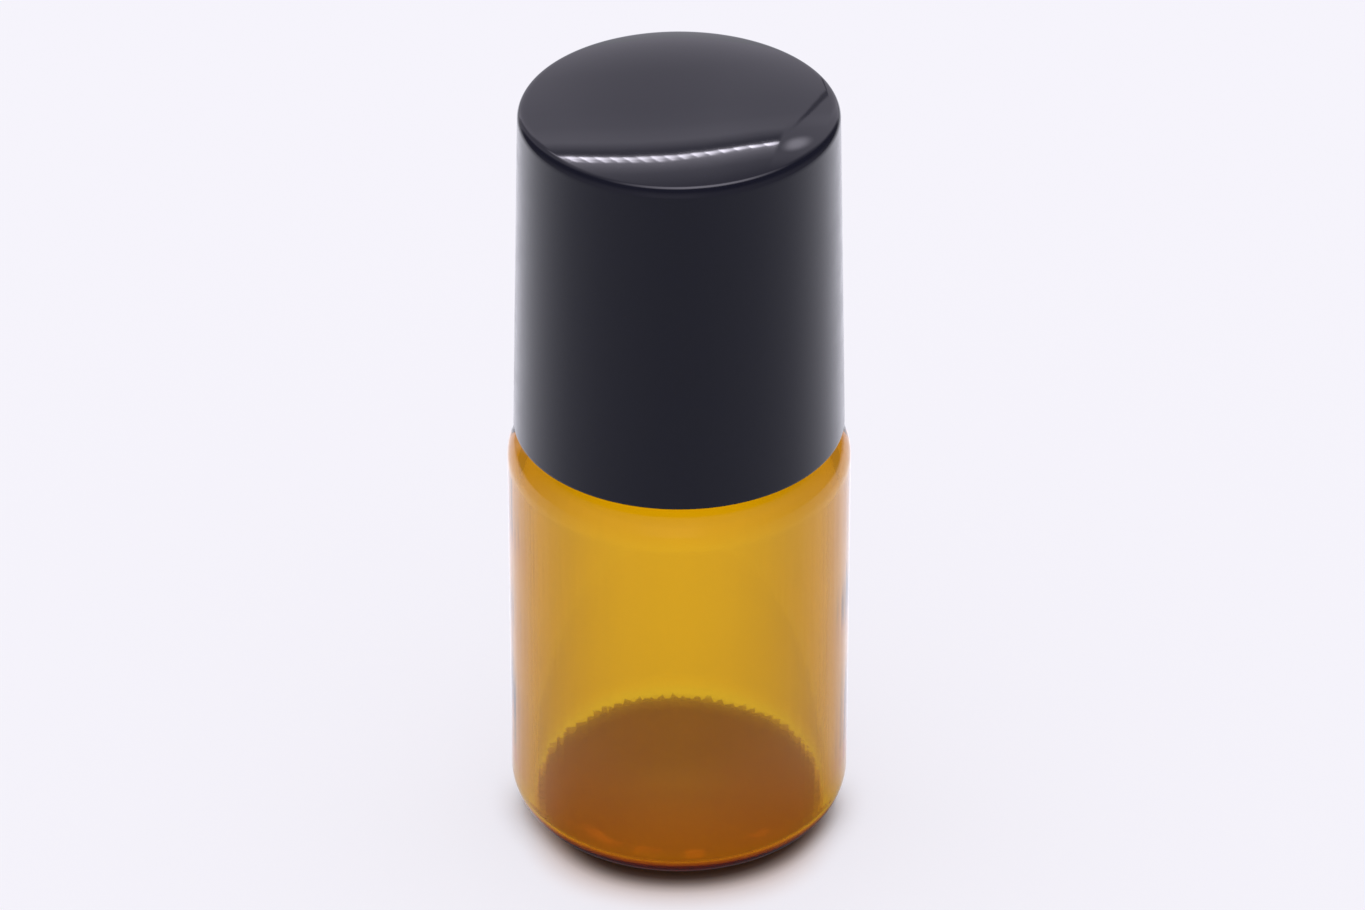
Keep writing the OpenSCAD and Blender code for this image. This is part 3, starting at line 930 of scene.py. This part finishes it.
class Floor(Studio):
    """The floor's tree."""

    def __init__(self, tree):
        super().__init__(tree, "Object")
        self.x, self.y, _ = self.axes(MM)
        self.reach = self.length(self.x, self.y)
        self.facing = self.math("DIVIDE", self.y, self.reach)

    def gloss(self):
        """What gloss mirrors: darker in front of the object than behind it, and close to it."""
        shift = self.rise(self.x, MIRROR_SHIFT_X, MIRROR_SHIFT)
        front = self.fall(self.minus(self.facing, shift), MIRROR_FRONT)
        near = self.times(self.fall(self.reach, MIRROR_NEAR, MIRROR_NEAR_SHADE), front)
        far = self.step(self.y, MIRROR_FAR, 1.0, MIRROR_FAR_LEVEL)
        return self.times(self.rest(near), far, self.curve(self.facing, FLOOR_STOPS))

    def colour(self):
        """Colour of the paper, with a painted warm shade close to the glass."""
        cooler = self.rise(self.facing, COOLER_FRONT, COOLER)
        open_share = self.rise(self.plus(self.reach, cooler), PAINTED_WARM_SHADE_EDGE)
        return self.colours(open_share, PAINTED_WARM_SHADE, BACKGROUND)

    def contact_shadow(self, colour):
        """The paper's colour with a painted contact shadow: the dark crescent in front of the foot."""
        thinner = self.rise(self.facing, THINNER_FRONT, THINNER)
        thinner = self.times(thinner, self.step(self.x, THINNER_X, 1.0, THINNER_RIGHT))
        light = self.curve(self.plus(self.reach, thinner), CONTACT_SHADOW_STOPS)
        shown = self.math("MULTIPLY_ADD", self.through, CONTACT_THROUGH, self.camera)
        shown = self.times(shown, self.fall(self.facing, CONTACT_FRONT))
        return self.colours(self.rest(self.times(self.rest(light), shown)), CONTACT_SHADOW_COLOUR, colour)

    def warmth(self):
        """Amber light under the glass, with the streaks that the heel throws."""
        ring = self.fall(self.away(self.reach, STREAK_R), STREAK_WIDTH, STREAK_LEVEL)
        spots = self.rise(self.noise(STREAKS_PER_MM), STREAK_NOISE)
        streaks = self.times(spots, self.fall(self.facing, STREAK_FRONT), ring)
        return self.plus(streaks, self.step(self.y, WARM_Y, *WARM_LEVELS))

    def glow(self):
        """Share of painted light on open paper past the foot's shade, whose edge is painted with teeth."""
        turn, wave = self.grooves(self.x, self.y)
        slow = self.math("SINE", self.times(turn, TOOTH_UNEVEN_RATE))
        uneven = self.math("MULTIPLY_ADD", slow, TOOTH_UNEVEN_SHARE, 1 - TOOTH_UNEVEN_SHARE)
        tooth = self.times(wave, uneven, self.through, TOOTH_DEPTH)
        behind = self.rise(self.minus(self.reach, tooth), GLOW_BACK, GLOW_BACK_SHARE)
        behind = self.times(behind, self.math("MULTIPLY_ADD", self.camera, GLOW_CAMERA_SHARE, 1.0))
        sideways = self.rise(self.facing, SIDEWAYS_FRONT, SIDEWAYS)
        in_front = self.rise(self.plus(self.reach, sideways), GLOW_FRONT, GLOW_FRONT_SHARE)
        return self.blend(self.rise(self.facing, GLOW_TURN), in_front, behind)


def make_world():
    """Even light all round for matt surfaces, the photographed studio for gloss, and the pale background."""
    world = bpy.data.worlds.new("studio")
    bpy.context.scene.world = world
    world.use_nodes = True
    world.cycles.sampling_method = "NONE"
    sky = Sky(world.node_tree)
    kind = "ShaderNodeBackground"
    plain = sky.light(kind, WHITE, sky.math("MULTIPLY_ADD", sky.z, TOP_LIGHT, LEVEL_LIGHT))
    glossy = sky.light(kind, SKY_TINT, sky.gloss())
    aside = sky.rise(sky.math("ABSOLUTE", sky.x), SKY_SIDE, SIDE_SHADE)
    shown = sky.light(kind, BACKGROUND, sky.rest(sky.times(aside, sky.through)))
    output = sky.node("ShaderNodeOutputWorld")
    lit = sky.mix(sky.mirrored, plain, glossy)
    sky.link(sky.mix(sky.seen, lit, shown), output.inputs["Surface"])


def floor_paper():
    """Pale paper, with the shade and the light that the bottle throws on it."""
    material = bpy.data.materials.new("floor_paper")
    material.use_nodes = True
    material.cycles.emission_sampling = "NONE"
    floor = Floor(material.node_tree)
    kind = "ShaderNodeEmission"
    colour = floor.colour()
    paper = floor.node("ShaderNodeBsdfDiffuse")
    # the paper's colour carries the painted contact shadow and the painted warm shade
    floor.link(floor.contact_shadow(colour), paper.inputs["Color"])
    warm = floor.light(kind, WARM_LIGHT, floor.warmth())
    aside = floor.rise(floor.away(floor.x, PAPER_MIDDLE), PAPER_SIDE, SIDE_SHADE)
    # paper lit by painted light past the foot's shade, with a painted side shade through the glass
    bright = floor.light(kind, colour, floor.rest(floor.times(aside, floor.through)))
    mirrored = floor.light(kind, FLOOR_TINT, floor.gloss())
    under_glass = floor.times(floor.fall(floor.reach, WARM_EDGE, WARM_SHARE), floor.through)
    shown = floor.mix(floor.times(under_glass, floor.seen), paper.outputs[0], warm)
    shown = floor.mix(floor.times(floor.glow(), floor.seen), shown, bright)
    output = floor.node("ShaderNodeOutputMaterial")
    floor.link(floor.mix(floor.mirrored, shown, mirrored), output.inputs["Surface"])
    return material


def make_floor():
    """Floor of pale paper, just under the glass."""
    side = FLOOR_SIZE / 2
    corners = [(-side, -side), (side, -side), (side, side), (-side, side)]
    floor = new_piece("floor", [(x, y, BASE_Z - FLOOR_GAP) for x, y in corners], [(0, 1, 2, 3)])
    floor.data.materials.append(floor_paper())


def make_camera():
    """The photograph's camera: long lens, 33 degrees down, straight at the bottle."""
    data = bpy.data.cameras.new("camera")
    data.sensor_width = SENSOR_WIDTH
    data.lens = CAMERA_LENS
    data.clip_start = CLIP_START
    camera = new_object("camera", data)
    camera.location = [c * MM for c in CAMERA_PLACE]
    camera.rotation_euler = (math.radians(90 - CAMERA_DOWN), 0, 0)
    bpy.context.scene.camera = camera


def dress(piece, node, body, material):
    """Gives a piece its material and its place in the frame."""
    piece.data.materials.clear()
    piece.data.materials.append(material)
    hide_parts(node)
    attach(piece, body)


dress(make_glass(), "glass_bottle", "bottle", amber_glass())
dress(make_fitment(), "ball_fitment", "bottle", natural_plastic())
dress(make_ball(), "roller_ball", "ball", steel())
pad = make_pad()
dress(pad, "seal_pad", "seal", seal_foam())
dress(make_cap(), "screw_cap", "cap", black_plastic())

make_world()
make_floor()
make_camera()
bpy.context.scene.view_settings.view_transform = "Standard"
